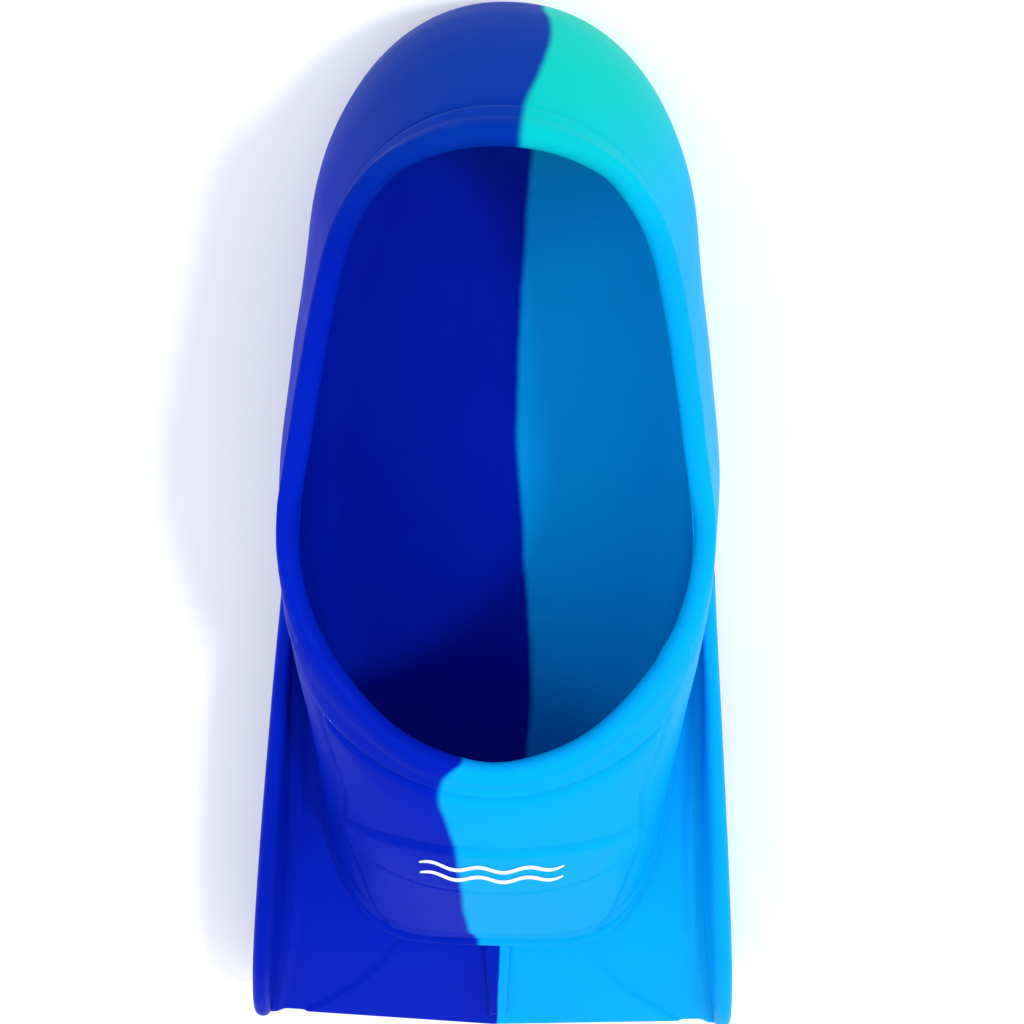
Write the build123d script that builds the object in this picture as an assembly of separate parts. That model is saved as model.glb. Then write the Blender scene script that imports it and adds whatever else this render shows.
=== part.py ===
"""Short-blade training swim fin: a closed-heel foot pocket and a short blade, moulded in two silicones.

The blue and the cyan silicone meet along a wandering seam near the middle, so every zone of the
moulding is two solids, one in each colour. The fin stands on its sole, +Z up, heel towards +Y,
blade tip towards -Y, cyan side towards +X. "s" is the distance in mm from the back of the heel
towards the blade tip, so y = HALF_LENGTH - s.
"""
from build123d import *
import os
from math import cos, pi, sin

# ---- driving dimensions, mm -------------------------------------------------------------------
LENGTH = 300.0
HALF_LENGTH = LENGTH / 2
WALL = 3.2                # side wall and instep
FLOOR = 4.0               # sole under the foot
CORE_TOP = 60.0           # the part of the pocket that the blade joins lies below this
COLLAR_STEP = 0.8         # how far the collar round the opening stands proud of the wall
PANEL_STEP = 0.6          # how far the instep panel stands proud
BAND_STEP = 1.1           # how far the band across the instep panel stands proud of the wall
PRINT_THICKNESS = 0.15
CLEARANCE = 0.4           # beside everything that moves with the blade
SMALLEST_SOLID = 0.5      # mm3: anything less is a sliver of a cut and is dropped

HEEL_POWER = 2.15         # superellipse power of the heel
OUTLINE_POINTS = 36

HEEL_CUP_END_S = 58.0
TOE_BOX_START_S = 150.0

HINGE_S, HINGE_Z = 263.0, 27.0    # the line that the blade bends about, just ahead of the toe lip
RAIL_DISC_R = 28.0                # round root of each moving rail, centred on that line
WEB_GAP = 1.0                     # the web stops this far each side of the line

# Half-width of the pocket at its widest level, by s
HALF_WIDTH = [(0, 47.0), (50, 47.2), (80, 51.0), (112, 54.8), (130, 55.0), (150, 53.4),
              (172, 50.8), (192, 49.2), (212, 48.6), (300, 48.6)]
# By height z: heel end s, how far the rounding of the heel reaches forward, where the heel half of
# the outline meets the toe half, toe end s, how far the sides lean in, power of the toe end
HEEL_S = [(0, 7.0), (1.5, 3.8), (4, 1.8), (9, 0.4), (16, 0.0), (24, 0.2), (33, 1.8), (42, 4.6),
          (50, 7.8), (58, 11.2), (64, 14.0), (72, 18.2), (78, 22.0), (86, 27.0)]
HEEL_REACH = [(16, 60.0), (50, 51.0), (64, 44.0), (72, 37.0), (86, 34.0)]
WIDEST_S = [(48, 140.0), (60, 130.0), (66, 119.0), (72, 108.0), (77, 99.0), (86, 96.0)]
TOE_S = [(0, 228.0), (1.5, 233.0), (4, 239.0), (9, 246.5), (16, 252.0), (24, 254.6), (33, 254.0),
         (38, 248.6), (44, 239.4), (50, 230.2), (56, 221.0), (60, 214.5), (65, 204.0), (70, 192.8),
         (74, 183.2), (77, 174.6), (79, 167.8), (81, 159.0), (86, 150.0)]
LEAN_IN = [(0, 6.5), (1.5, 3.4), (4, 1.6), (9, 0.4), (16, 0.0), (24, 0.0), (33, 0.6), (42, 1.9),
           (50, 3.7), (58, 5.6), (66, 7.6), (72, 9.2), (78, 11.4), (86, 14.0)]
TOE_POWER = [(0, 3.4), (16, 4.4), (31, 4.4), (44, 3.2), (60, 2.4), (72, 2.1), (86, 2.0)]
LEVELS = [0, 1.5, 4, 9, 16, 24, 33, 42, 50, 58, 65, 71, 76, 79, 82]
CAVITY_ROUNDING = {FLOOR: 7.0, FLOOR + 1.2: 4.2, FLOOR + 4: 1.7, FLOOR + 9: 0.3}

# Side profiles (s, z) that cut the opening and bound the collar below
RIM_TOP = [(-8, 73), (18, 72.4), (50, 66.8), (95, 70.6), (130, 74.4), (150, 77), (160, 79.5),
           (164.5, 84), (166, 92)]
COLLAR_FOOT = [(-8, 62.5), (14, 63.6), (30, 62.2), (50, 61.6), (95, 65.6), (130, 69), (150, 70.8),
               (164, 73), (171, 76), (175, 81), (177, 92)]

# Plan curves (s, x) along which blue meets cyan
SEAM_UPPER = [(-20, 16), (0, 12.5), (8, 7), (15, 3.6), (22, 2.8), (60, 1), (110, -2), (160, -7),
              (172, -12), (186, -11.5), (200, -9), (216, -7), (234, -5), (250, -3.6), (275, -1.5)]
SEAM_SOLE = [(-20, 11), (30, 9.6), (75, 7), (110, 7.2), (150, 9), (200, 9), (235, 6), (275, 1.5)]
SEAM_BLADE = [(120, 0.8), (260, 1.0), (310, 0.6)]

# Instep: half-width of the raised panel by s, and the band that crosses it
PANEL_HALF = [(150, 41), (169, 39), (184, 36.5), (199, 37.8), (210, 37.6), (222, 36), (240, 32.5),
              (252, 29)]
BAND_S, BAND_HALF = 199.0, 37.9
PRINT_ROWS_S, PRINT_HALF_SPAN, PRINT_STROKE = (202.6, 206.4), 16.5, 1.3
PRINT_WAVE, PRINT_SWING = 11.0, 1.0

# Tread across the underside
GROOVE_WIDTH, GROOVE_DEPTH, GROOVE_PITCH = 2.4, 0.9, 8.0
TREAD_FROM_S, TREAD_TO_S, TREAD_MARGIN = 26.0, 214.0, 9.0

# Blade web: height of its top face and its thickness, by s
WEB_TOP = [(130, 27.0), (160, 29.0), (200, 30.2), (245, 30.0), (262, 28.6), (280, 24.8), (301, 19.8)]
WEB_THICK = [(130, 3.6), (245, 3.6), (301, 2.4)]
WEB_START_S = 142.0
WEB_CORNER_S = 293.0      # the trailing edge is a shallow V: this far back at the rails
FAN_STEP = 0.9            # the middle fan of the blade is thicker than its corners
FAN_HALF = [(250, 26.0), (259, 27.2), (267, 31.0), (277, 37.6), (286, 46.0), (296, 58.0), (304, 70.0)]
RIB_X, RIB_ROOT_HALF, RIB_TIP_HALF, RIB_END_S, RIB_HEIGHT = 1.0, 4.2, 2.7, 296.0, 1.8

LIP_TOP_Z, LIP_DEPTH, LIP_TOE_S, LIP_STEP, LIP_START_S = 32.8, 5.0, 259.6, 0.6, 206.0

# Side rails, by s: outer face, crest height, foot height and thickness where the web joins
RAIL_OUTER = [(138, 55.8), (156, 58.0), (188, 61.6), (220, 65.2), (260, 69.4), (298, 73.0)]
RAIL_CREST = [(138, 30.5), (150, 34.0), (170, 38.0), (200, 41.0), (240, 42.0), (260, 40.8),
              (275, 37.4), (285, 33.0), (293, 26.5), (298, 18.0)]
RAIL_FOOT = [(138, 25.0), (150, 19.0), (170, 12.0), (200, 7.0), (230, 3.0), (255, 1.0), (290, 1.0),
             (294, 2.5), (298, 7.0)]
RAIL_THICK = [(138, 4.0), (160, 5.5), (200, 9.0), (240, 11.0), (262, 10.0), (290, 7.2), (298, 6.0)]
RAIL_STATIONS = [138, 148, 162, 182, 206, 230, 250, 266, 277, 286, 293, 297.6]
RAIL_TOP_THICK, RAIL_FOOT_THICK = 5.0, 6.0


# ---- helpers ------------------------------------------------------------------------------------
def value(table, v):
    """Smooth value at v of a table [(position, value)], without overshoot between its entries."""
    if v <= table[0][0]:
        return table[0][1]
    if v >= table[-1][0]:
        return table[-1][1]
    i = max(k for k in range(len(table) - 1) if table[k][0] <= v)
    (x0, y0), (x1, y1) = table[i], table[i + 1]
    run = x1 - x0

    def slope(k):
        if k in (0, len(table) - 1):
            return (y1 - y0) / run
        before = (table[k][1] - table[k - 1][1]) / (table[k][0] - table[k - 1][0])
        after = (table[k + 1][1] - table[k][1]) / (table[k + 1][0] - table[k][0])
        return 0.0 if before * after <= 0 else 2 * before * after / (before + after)

    t = (v - x0) / run
    return (y0 * (1 + 2 * t) * (1 - t) ** 2 + slope(i) * run * t * (1 - t) ** 2
            + y1 * t * t * (3 - 2 * t) + slope(i + 1) * run * t * t * (t - 1))


def at(x, s, z=0.0):
    """Point at distance s from the heel."""
    return Vector(x, HALF_LENGTH - s, z)


def outline_face(z, grow=0.0, toe_s=None, inset=0.0):
    """Plan outline of the pocket at height z, with every wall moved outwards by grow."""
    heel = value(HEEL_S, z) - grow + inset
    if toe_s is None:
        sloping, upright = value(TOE_S, z - 1.13 * grow), value(TOE_S, z) + grow
        toe_s = (min(sloping, upright) if grow < 0 else max(sloping, upright)) - inset
    power, reach, widest = value(TOE_POWER, z), value(HEEL_REACH, z), value(WIDEST_S, z)
    points = []
    for k in range(OUTLINE_POINTS):
        a = 2 * pi * (k + 0.5) / OUTLINE_POINTS
        across, along = abs(sin(a)), abs(cos(a))
        if cos(a) > 0:
            s = widest - (widest - heel) * along ** 0.6
            ahead = max(0.0, heel + reach - s) / reach
            rounding = (1 - ahead ** HEEL_POWER) ** (1 / HEEL_POWER)
        else:
            s = widest + (toe_s - widest) * along ** (2 / power)
            rounding = across ** (2 / power)
        lean = value(LEAN_IN, z) * (1 - 0.2 * min(1.0, max(0.0, (s - 50) / 50)))
        x = (value(HALF_WIDTH, s) - lean + grow - inset) * rounding
        points.append(at(x if sin(a) > 0 else -x, s, z))
    return Face(Wire([Spline(points, periodic=True).edge()]))


def pocket(grow=0.0):
    """Solid of the pocket's outside, grown by so many mm."""
    return loft([outline_face(z, grow) for z in LEVELS])


def cavity():
    """Space inside the pocket, rounded where the wall meets the floor."""
    levels = sorted([z for z in LEVELS if z > max(CAVITY_ROUNDING)] + list(CAVITY_ROUNDING))
    return loft([outline_face(z, -WALL, inset=CAVITY_ROUNDING.get(z, 0.0)) for z in levels])


def above(profile):
    """Everything above a side profile, across the whole width."""
    top = 130.0
    curve = Spline([Vector(0, HALF_LENGTH - s, z) for s, z in profile])
    first, last = curve @ 0, curve @ 1
    corners = [last, Vector(0, last.Y, top), Vector(0, first.Y, top), first]
    sides = [Line(corners[k], corners[k + 1]) for k in range(3)]
    return extrude(make_face([curve, *sides]), 90, dir=(1, 0, 0), both=True)


def plan_prism(edges, z0=-20.0, z1=120.0):
    """Upright prism over closed plan edges."""
    return extrude(Pos(0, 0, z0) * make_face(edges), z1 - z0, dir=(0, 0, 1))


def beside(curve, x_far):
    """Plan region between a curve [(s, x)] and a far line parallel to the fin."""
    (s0, x0), (s1, x1) = curve[0], curve[-1]
    edges = [Spline([at(x, s) for s, x in curve]), Line(at(x1, s1), at(x_far, s1)),
             Line(at(x_far, s1), at(x_far, s0)), Line(at(x_far, s0), at(x0, s0))]
    return plan_prism(edges)


def between(half_widths, z0=-20.0, z1=120.0):
    """Plan region within a half-width that changes along the fin."""
    (s0, x0), (s1, x1) = half_widths[0], half_widths[-1]
    edges = [Spline([at(x, s) for s, x in half_widths]), Spline([at(-x, s) for s, x in half_widths]),
             Line(at(-x0, s0), at(x0, s0)), Line(at(-x1, s1), at(x1, s1))]
    return plan_prism(edges, z0, z1)


def slab(s0, s1):
    """Everything between two distances from the heel."""
    return Pos(0, HALF_LENGTH - (s0 + s1) / 2, 40) * Box(400, s1 - s0, 300)


def level_slab(z0, z1):
    """Everything between two heights."""
    return Pos(0, 0, (z0 + z1) / 2) * Box(400, 700, z1 - z0)


def solids_of(shape):
    """The solids of a cut's result, without its slivers."""
    return [p for p in shape.solids() if p.volume > SMALLEST_SOLID]


def save(name, shape):
    """Write one node."""
    found = solids_of(shape)
    export_step(found[0] if len(found) == 1 else Compound(children=found), f"parts/{name}.step")
    print(f"{name:24s} {len(found)} solids {sum(p.volume for p in found) / 1000:8.2f} cm3")


def save_pair(name, shape, seam):
    """Write the blue and the cyan half of a zone."""
    blue_side = beside(seam, -90.0)
    save(f"{name}_blue", shape & blue_side)
    save(f"{name}_cyan", shape - blue_side)


# ---- foot pocket ----------------------------------------------------------------------------------
def make_sole(outside):
    """Floor of the pocket, with shallow grooves across its underside."""
    sole = outside & level_slab(-5, FLOOR)
    tread = [(s, value(HALF_WIDTH, s) - TREAD_MARGIN - max(0.0, 60 - s) * 0.35) for s in (20, 60, 120, 170, 220)]
    count = int((TREAD_TO_S - TREAD_FROM_S) // GROOVE_PITCH)
    grooves = [slab(s, s + GROOVE_WIDTH) for s in [TREAD_FROM_S + k * GROOVE_PITCH for k in range(count)]]
    area = between(tread, -1.0, GROOVE_DEPTH)
    save_pair("sole", sole - [area & groove for groove in grooves], SEAM_SOLE)


def make_walls(outside):
    """Heel cup, side walls and toe box below the collar, and the proud collar round the opening."""
    inside, collar_region = cavity(), above(COLLAR_FOOT)
    wall = (outside & level_slab(FLOOR, 130)) - inside - collar_region
    save_pair("heel_cup", wall & slab(-20, HEEL_CUP_END_S), SEAM_UPPER)
    save_pair("side_wall", wall & slab(HEEL_CUP_END_S, TOE_BOX_START_S), SEAM_UPPER)
    save_pair("toe_box", wall & slab(TOE_BOX_START_S, 300), SEAM_UPPER)

    collar = (pocket(COLLAR_STEP) & collar_region) - inside - above(RIM_TOP)
    save_pair("opening_collar", collar, SEAM_UPPER)


def make_instep(outside):
    """Raised panel down the instep, the proud band across it and the print on that band."""
    corner, side = (BAND_HALF, BAND_S), (BAND_HALF + 0.7, BAND_S + 6)
    low = (BAND_HALF - 2.4, BAND_S + 11)
    edges = [Line(at(-BAND_HALF, BAND_S), at(*corner)),
             ThreePointArc(at(*corner), at(*side), at(*low)),
             ThreePointArc(at(*low), at(0, BAND_S + 16.2), at(-low[0], low[1])),
             ThreePointArc(at(-low[0], low[1]), at(-side[0], side[1]), at(-BAND_HALF, BAND_S))]
    band_region = plan_prism(edges, 33, 120)
    panel = ((pocket(PANEL_STEP) - outside) & between(PANEL_HALF, 33, 120)) - above(COLLAR_FOOT)
    save_pair("instep_panel", panel - band_region, SEAM_UPPER)
    badge = pocket(BAND_STEP)
    save_pair("instep_band", (badge - outside) & band_region, SEAM_UPPER)

    print_skin = pocket(BAND_STEP + PRINT_THICKNESS) - badge
    strokes = []
    for row_s in PRINT_ROWS_S:
        xs = [PRINT_HALF_SPAN * (k / 12 - 1) for k in range(25)]
        middle = [(x, row_s + PRINT_SWING * sin(2 * pi * x / PRINT_WAVE)) for x in xs]
        upper = Spline([at(x, s - PRINT_STROKE / 2) for x, s in middle])
        lower = Spline([at(x, s + PRINT_STROKE / 2) for x, s in middle])
        wave = plan_prism([upper, lower, Line(upper @ 0, lower @ 0), Line(upper @ 1, lower @ 1)], 40, 90)
        strokes += solids_of(print_skin & wave)
    save("printed_mark", Compound(children=strokes))


# ---- blade ------------------------------------------------------------------------------------------
def rail(side):
    """One side rail, lofted through upright sections; side is 1 for cyan, -1 for blue."""
    faces = []
    for s in RAIL_STATIONS:
        outer, top, foot = value(RAIL_OUTER, s), value(RAIL_CREST, s), value(RAIL_FOOT, s)
        thick, height = value(RAIL_THICK, s), top - foot
        top_thick, foot_thick = min(RAIL_TOP_THICK, thick), min(RAIL_FOOT_THICK, thick)
        section = [(outer - 0.25, foot + 0.06 * height), (outer, foot + 0.3 * height),
                   (outer - 0.3, foot + 0.58 * height), (outer - 0.9, foot + 0.93 * height),
                   (outer - top_thick / 2 - 0.6, top),
                   (outer - top_thick - 0.3, foot + 0.92 * height),
                   (outer - 0.62 * thick - 1.6, foot + 0.8 * height),
                   (outer - thick, foot + 0.58 * height),
                   (outer - 0.8 * thick - 0.8, foot + 0.3 * height),
                   (outer - foot_thick, foot + 0.07 * height), (outer - foot_thick / 2, foot)]
        wire = Spline([at(side * x, s, z) for x, z in section], periodic=True)
        faces.append(Face(Wire([wire.edge()])))
    return loft(faces)


def web_plate():
    """The blade's plate: a side profile across the whole width, cut to the plan of the blade."""
    stations = [s for s, _ in WEB_TOP]
    top = Spline([at(0, s, value(WEB_TOP, s)) for s in stations])
    under = Spline([at(0, s, value(WEB_TOP, s) - value(WEB_THICK, s)) for s in stations])
    side = make_face([top, under, Line(top @ 0, under @ 0), Line(top @ 1, under @ 1)])
    half = [(s, value(RAIL_OUTER, s) - 3.0) for s in (160, 190, 220, 250, 280)]
    half = [(WEB_START_S, 56.2), *half, (WEB_CORNER_S, 69.4)]
    edges = [Spline([at(x, s) for s, x in half]), Spline([at(-x, s) for s, x in half]),
             Line(at(-half[0][1], WEB_START_S), at(half[0][1], WEB_START_S)),
             Line(at(half[-1][1], WEB_CORNER_S), at(0, LENGTH)),
             Line(at(0, LENGTH), at(-half[-1][1], WEB_CORNER_S))]
    return extrude(side, 90, dir=(1, 0, 0), both=True) & plan_prism(edges)


def make_blade(outside):
    """Rails, web, fan, centre rib and toe lip, split at the line that the blade bends about."""
    core = outside & level_slab(-5, CORE_TOP) & slab(120, 300)
    hinge = Plane(origin=at(0, HINGE_S, HINGE_Z), z_dir=(1, 0, 0))
    disc = hinge * Cylinder(RAIL_DISC_R, 400)
    disc_hole = hinge * Cylinder(RAIL_DISC_R + CLEARANCE, 400)
    tip_end, rails = slab(HINGE_S, 320), {"blue": rail(-1), "cyan": rail(1)}
    for colour, body in rails.items():
        save(f"rail_root_{colour}", (body - disc_hole - tip_end) - core)
        save(f"rail_tip_{colour}", body & (disc + tip_end))

    plate = web_plate()
    inner = [(s, value(RAIL_OUTER, s) - value(RAIL_THICK, s) - 2 * CLEARANCE) for s in (232, 244, 256, 270)]
    root = (plate - core) & slab(100, HINGE_S - WEB_GAP)
    for body in rails.values():
        root = root - body
    root = root - beside(inner, 90.0) - beside([(s, -x) for s, x in inner], -90.0)
    save_pair("web_root", root, SEAM_BLADE)

    moving = slab(HINGE_S + WEB_GAP, 320)
    rib_ends = [(HINGE_S + WEB_GAP, RIB_ROOT_HALF), (RIB_END_S, RIB_TIP_HALF)]
    rib_region = Pos(RIB_X, 0, 0) * between(rib_ends)
    web = plate & moving
    fan = (Pos(0, 0, FAN_STEP) * plate - plate) & between(FAN_HALF) & moving & level_slab(18, 40)
    rib = (Pos(0, 0, FAN_STEP + RIB_HEIGHT) * plate - plate) & rib_region & level_slab(18, 40)
    for body in rails.values():
        web = web - body
        fan = fan - body
    save_pair("blade_web", web, SEAM_BLADE)
    save_pair("blade_fan", fan - rib_region, SEAM_BLADE)
    save_pair("centre_rib", rib, SEAM_BLADE)

    lip_face = Pos(0, 0, LIP_TOP_Z - LIP_DEPTH - 30) * outline_face(30, LIP_STEP, toe_s=LIP_TOE_S)
    lip = extrude(lip_face, LIP_DEPTH, dir=(0, 0, 1)) - core
    save_pair("toe_lip", (lip & slab(LIP_START_S, 320)) - plate, SEAM_BLADE)


def main():
    os.makedirs("parts", exist_ok=True)
    outside = pocket()
    make_sole(outside)
    make_walls(outside)
    make_instep(outside)
    make_blade(outside)


main()
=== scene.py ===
"""Finished looks of a short-blade training swim fin, moulded in blue and cyan silicone."""

from math import cos, pi, sin, sqrt
from types import SimpleNamespace

import bmesh
import bpy
from bpy.props import FloatProperty, FloatVectorProperty, IntProperty, PointerProperty
from mathutils import Matrix, Vector


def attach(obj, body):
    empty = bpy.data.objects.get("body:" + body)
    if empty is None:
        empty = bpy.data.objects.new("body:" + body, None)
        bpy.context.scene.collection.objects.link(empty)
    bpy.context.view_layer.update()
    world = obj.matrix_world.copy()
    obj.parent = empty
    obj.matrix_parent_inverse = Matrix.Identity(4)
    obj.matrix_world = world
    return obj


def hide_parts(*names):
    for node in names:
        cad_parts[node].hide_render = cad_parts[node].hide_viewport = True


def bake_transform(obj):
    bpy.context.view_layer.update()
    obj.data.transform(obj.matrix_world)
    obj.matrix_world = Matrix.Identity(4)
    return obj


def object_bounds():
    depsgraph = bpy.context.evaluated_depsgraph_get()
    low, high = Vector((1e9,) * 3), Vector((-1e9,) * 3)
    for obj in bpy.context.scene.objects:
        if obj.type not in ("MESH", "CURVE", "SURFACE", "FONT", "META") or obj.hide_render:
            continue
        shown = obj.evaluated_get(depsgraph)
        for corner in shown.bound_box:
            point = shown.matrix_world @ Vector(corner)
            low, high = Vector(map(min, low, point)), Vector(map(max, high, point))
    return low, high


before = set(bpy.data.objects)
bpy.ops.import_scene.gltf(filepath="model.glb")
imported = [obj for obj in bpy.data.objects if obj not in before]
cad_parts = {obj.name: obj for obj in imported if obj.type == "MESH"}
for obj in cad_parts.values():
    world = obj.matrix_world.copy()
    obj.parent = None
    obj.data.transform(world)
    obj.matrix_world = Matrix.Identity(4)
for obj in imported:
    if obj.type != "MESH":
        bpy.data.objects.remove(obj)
CAD_BOX = [list(corner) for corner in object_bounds()]

bl_info = {
    "name": "Two-tone silicone swim fin",
    "version": (1, 0, 0),
    "blender": (4, 5, 0),
    "location": "3D View > Sidebar > Swim fin",
    "description": "Builds a short-blade training fin with a closed-heel foot pocket",
    "category": "Object",
}

MM = 0.001
HEEL_Y = CAD_BOX[1][1]            # the back of the heel, from which every distance s is taken
LENGTH = (CAD_BOX[1][1] - CAD_BOX[0][1]) / MM

# Tables are (position, value) pairs in mm. s runs from the back of the heel to the blade's tip.
# The pocket's half-width along s
HALF_WIDTH = [(0, 45.8), (50, 46.2), (80, 50.6), (112, 54.8), (130, 55.0), (150, 53.4),
              (172, 50.8), (192, 49.2), (212, 48.6), (300, 48.6)]
# At each height z: the back of the heel, how far its rounding reaches, the widest place and the toe
HEEL_S = [(0, 7.0), (1.5, 3.8), (4, 1.8), (9, 0.4), (16, 0.0), (24, 0.2), (33, 1.8), (42, 4.6),
          (50, 7.8), (58, 11.2), (64, 14.0), (72, 18.2), (78, 22.0), (86, 27.0)]
HEEL_REACH = [(16, 62.0), (50, 58.0), (60, 54.0), (64, 51.0), (68, 45.0), (72, 40.0), (86, 36.0)]
HEEL_POWER = 2.15
WIDEST_S = [(48, 140.0), (60, 130.0), (66, 119.0), (72, 106.0), (77, 95.0), (86, 92.0)]
TOE_S = [(0, 228.0), (1.5, 233.0), (4, 239.0), (9, 246.5), (16, 252.0), (24, 254.6), (33, 254.0),
         (38, 248.6), (44, 239.4), (50, 230.2), (56, 221.0), (60, 214.5), (65, 204.5), (70, 194.0),
         (73.5, 185.4), (75.6, 179.0), (77.0, 173.0), (77.8, 167.0), (78.4, 160.0), (80, 146.0),
         (86, 128.0)]
TOE_RISE = 1.13                   # how far the sloping toe lifts for each mm that the wall grows
# At each height z: how far the wall leans in, how square the toe is and how far the footbed rounds up
LEAN_IN = [(0, 6.5), (1.5, 3.4), (4, 1.6), (9, 0.4), (16, 0.0), (24, 0.0), (33, 0.6), (42, 1.9),
           (50, 3.7), (58, 5.6), (66, 7.6), (70.4, 8.4), (72, 9.8), (73.8, 12.0), (75.5, 14.4), (78, 17.0),
           (86, 22.0)]
TOE_POWER = [(0, 3.4), (16, 4.4), (31, 4.4), (44, 3.2), (60, 2.4), (72, 2.1), (86, 2.0)]
FLOOR_ROUNDING = [(4, 7.0), (5.2, 4.2), (8, 1.7), (13, 0.3), (20, 0.0)]
FLOOR_Z, FLOOR_ROUND_Z, FOOTBED_MIDDLE_S = 4.0, 14.0, 118
SEARCH_Z, SEARCH_STEPS = (30.0, 79.5), 22      # heights between which a line on the wall is looked for
INSTEP_Z = (34.0, 79.0)                        # heights between which the instep slopes
# Edge of the opening and foot of the collar: their height along s at the sides, and their half-width
# along s over the foot
RIM_Z = [(-8, 72.4), (18, 71.8), (50, 66.4), (95, 70.4), (130, 74.2), (140, 76), (150, 79), (160, 90)]
RIM_HALF = [(120, 30), (126, 38.5), (131, 40.3), (135, 39.8), (144.4, 34.6), (152.3, 27.6),
            (158.4, 19.6), (162.5, 11), (164.6, 4), (165, 0)]
COLLAR_Z = [(-8, 62.5), (14, 63.6), (30, 62.0), (50, 61.4), (95, 65.2), (130, 68.0), (142, 69.0),
            (150, 73), (160, 90)]
COLLAR_HALF = [(142, 30), (147, 47), (153.5, 42), (160, 36.4), (165.5, 29), (170.5, 18),
               (173.2, 8), (174, 0)]
RIM_ROUNDNESS = 0.9               # height of the rounded edge against half its thickness

# The instep panel's half-width along s, and where the band across it starts and ends at each x
PANEL_HALF = [(150, 41), (169, 39), (184, 36.5), (199, 37.8), (210, 37.6), (222, 36), (240, 32.5),
              (252, 29)]
BAND_FROM = [(0, 195.8), (18, 196.4), (28, 197.2), (39, 199.4)]
BAND_TO = [(0, 215.2), (13, 214.7), (22, 213.6), (30, 211.6), (39, 208.0)]
BAND_HALF, FOLD_Z = 38.6, 36.2

# The blade along s: the web's top and thickness, the fan on it, and the rails' side, crest, foot and
# thickness
WEB_TOP = [(130, 27.0), (160, 29.0), (200, 30.2), (245, 30.0), (262, 28.6), (280, 24.8), (301, 19.8)]
WEB_THICK = [(130, 3.6), (245, 3.6), (301, 2.6)]
WEB_START_S, WEB_CORNER_DROP, WEB_WARP_S = 142.0, 4.8, 262.0
FAN_HALF = [(250, 26.0), (259, 27.2), (267, 31.0), (277, 37.6), (286, 46.0), (296, 58.0), (304, 70.0)]
RAIL_OUTER = [(138, 55.8), (156, 58.0), (188, 61.6), (220, 65.2), (260, 69.4), (298, 73.0)]
RAIL_CREST = [(138, 30.5), (150, 34.0), (170, 38.0), (200, 41.0), (240, 42.0), (260, 40.8),
              (275, 37.4), (285, 33.0), (293, 26.5), (298, 18.0)]
RAIL_FOOT = [(138, 25.0), (150, 19.0), (170, 12.0), (200, 7.0), (230, 3.0), (255, 1.0), (290, 1.0),
             (294, 2.5), (298, 7.0)]
RAIL_THICK = [(138, 4.0), (160, 5.5), (200, 9.0), (240, 11.0), (262, 10.0), (290, 7.2), (298, 6.0)]
RAIL_START_S, RAIL_END_S = 138, 296.6
LIP_Z, LIP_TOE_S, LIP_HALF_HEIGHT = 30.6, 259.6, 2.2
LIP_ROOT, LIP_REACH = -1.2, 0.7   # where the lip starts inside the wall, and how far it stands proud
POCKET_TOE_S = 254.7

# Tread grooves under the sole, and the two printed waves
TREAD_HALF_WIDTH, TREAD_FROM_S, TREAD_TO_S, TREAD_PITCH, TREAD_WIDTH = 33, 40, 208, 8, 2.4
WAVE_ROWS_S, WAVE_HALF_LENGTH, WAVE_PITCH = (202.4, 207.4), 18.0, 12.0
WAVE_STROKE, WAVE_SWING, WAVE_LIFT = 0.85, 1.15, 0.12

# Plan curves (s, x) along which blue meets cyan
SEAM_UPPER = [(-10, 14), (0, 12.5), (8, 7), (15, 3.6), (22, 2.8), (60, 1), (110, -2), (150, -5.5),
              (162, -6.2), (166, -11), (174, -13.2), (186, -11.5), (200, -9.6), (216, -8.8), (234, -8),
              (250, -7), (262, -5.5)]
SEAM_SOLE = [(-10, 10), (30, 5.6), (75, 3.6), (110, 3.2), (150, 6), (200, 8.4), (235, 3), (262, -4)]
SEAM_BLADE = [(120, 0.8), (260, 1.0), (310, 0.6)]

CAMERA_PLACE = (0.0067, 0.1985, 0.3833)
CAMERA_FORWARD, CAMERA_UP = (-0.009, -0.432, -0.902), (-0.023, 0.901, -0.432)
CAMERA_LENS, CAMERA_SENSOR = 54.7, 36.0


# ---- shape formulas -----------------------------------------------------------------------------
def value(table, v):
    """Smooth value at v of a table, without overshoot between its entries."""
    if v <= table[0][0]:
        return table[0][1]
    if v >= table[-1][0]:
        return table[-1][1]
    i = max(k for k in range(len(table) - 1) if table[k][0] <= v)
    (x0, y0), (x1, y1) = table[i], table[i + 1]
    run = x1 - x0

    def slope(k):
        if k in (0, len(table) - 1):
            return (y1 - y0) / run
        before = (table[k][1] - table[k - 1][1]) / (table[k][0] - table[k - 1][0])
        after = (table[k + 1][1] - table[k][1]) / (table[k + 1][0] - table[k][0])
        return 0.0 if before * after <= 0 else 2 * before * after / (before + after)

    t = (v - x0) / run
    return (y0 * (1 + 2 * t) * (1 - t) ** 2 + slope(i) * run * t * (1 - t) ** 2
            + y1 * t * t * (3 - 2 * t) + slope(i + 1) * run * t * t * (t - 1))


def ease(low, high, v):
    """0 below low, 1 above high, smooth between."""
    t = min(1.0, max(0.0, (v - low) / (high - low)))
    return t * t * (3 - 2 * t)


def at(x, s, z):
    """Point in metres from mm across the fin, from the heel, and up."""
    return Vector((x * MM, HEEL_Y - s * MM, z * MM))


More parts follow.
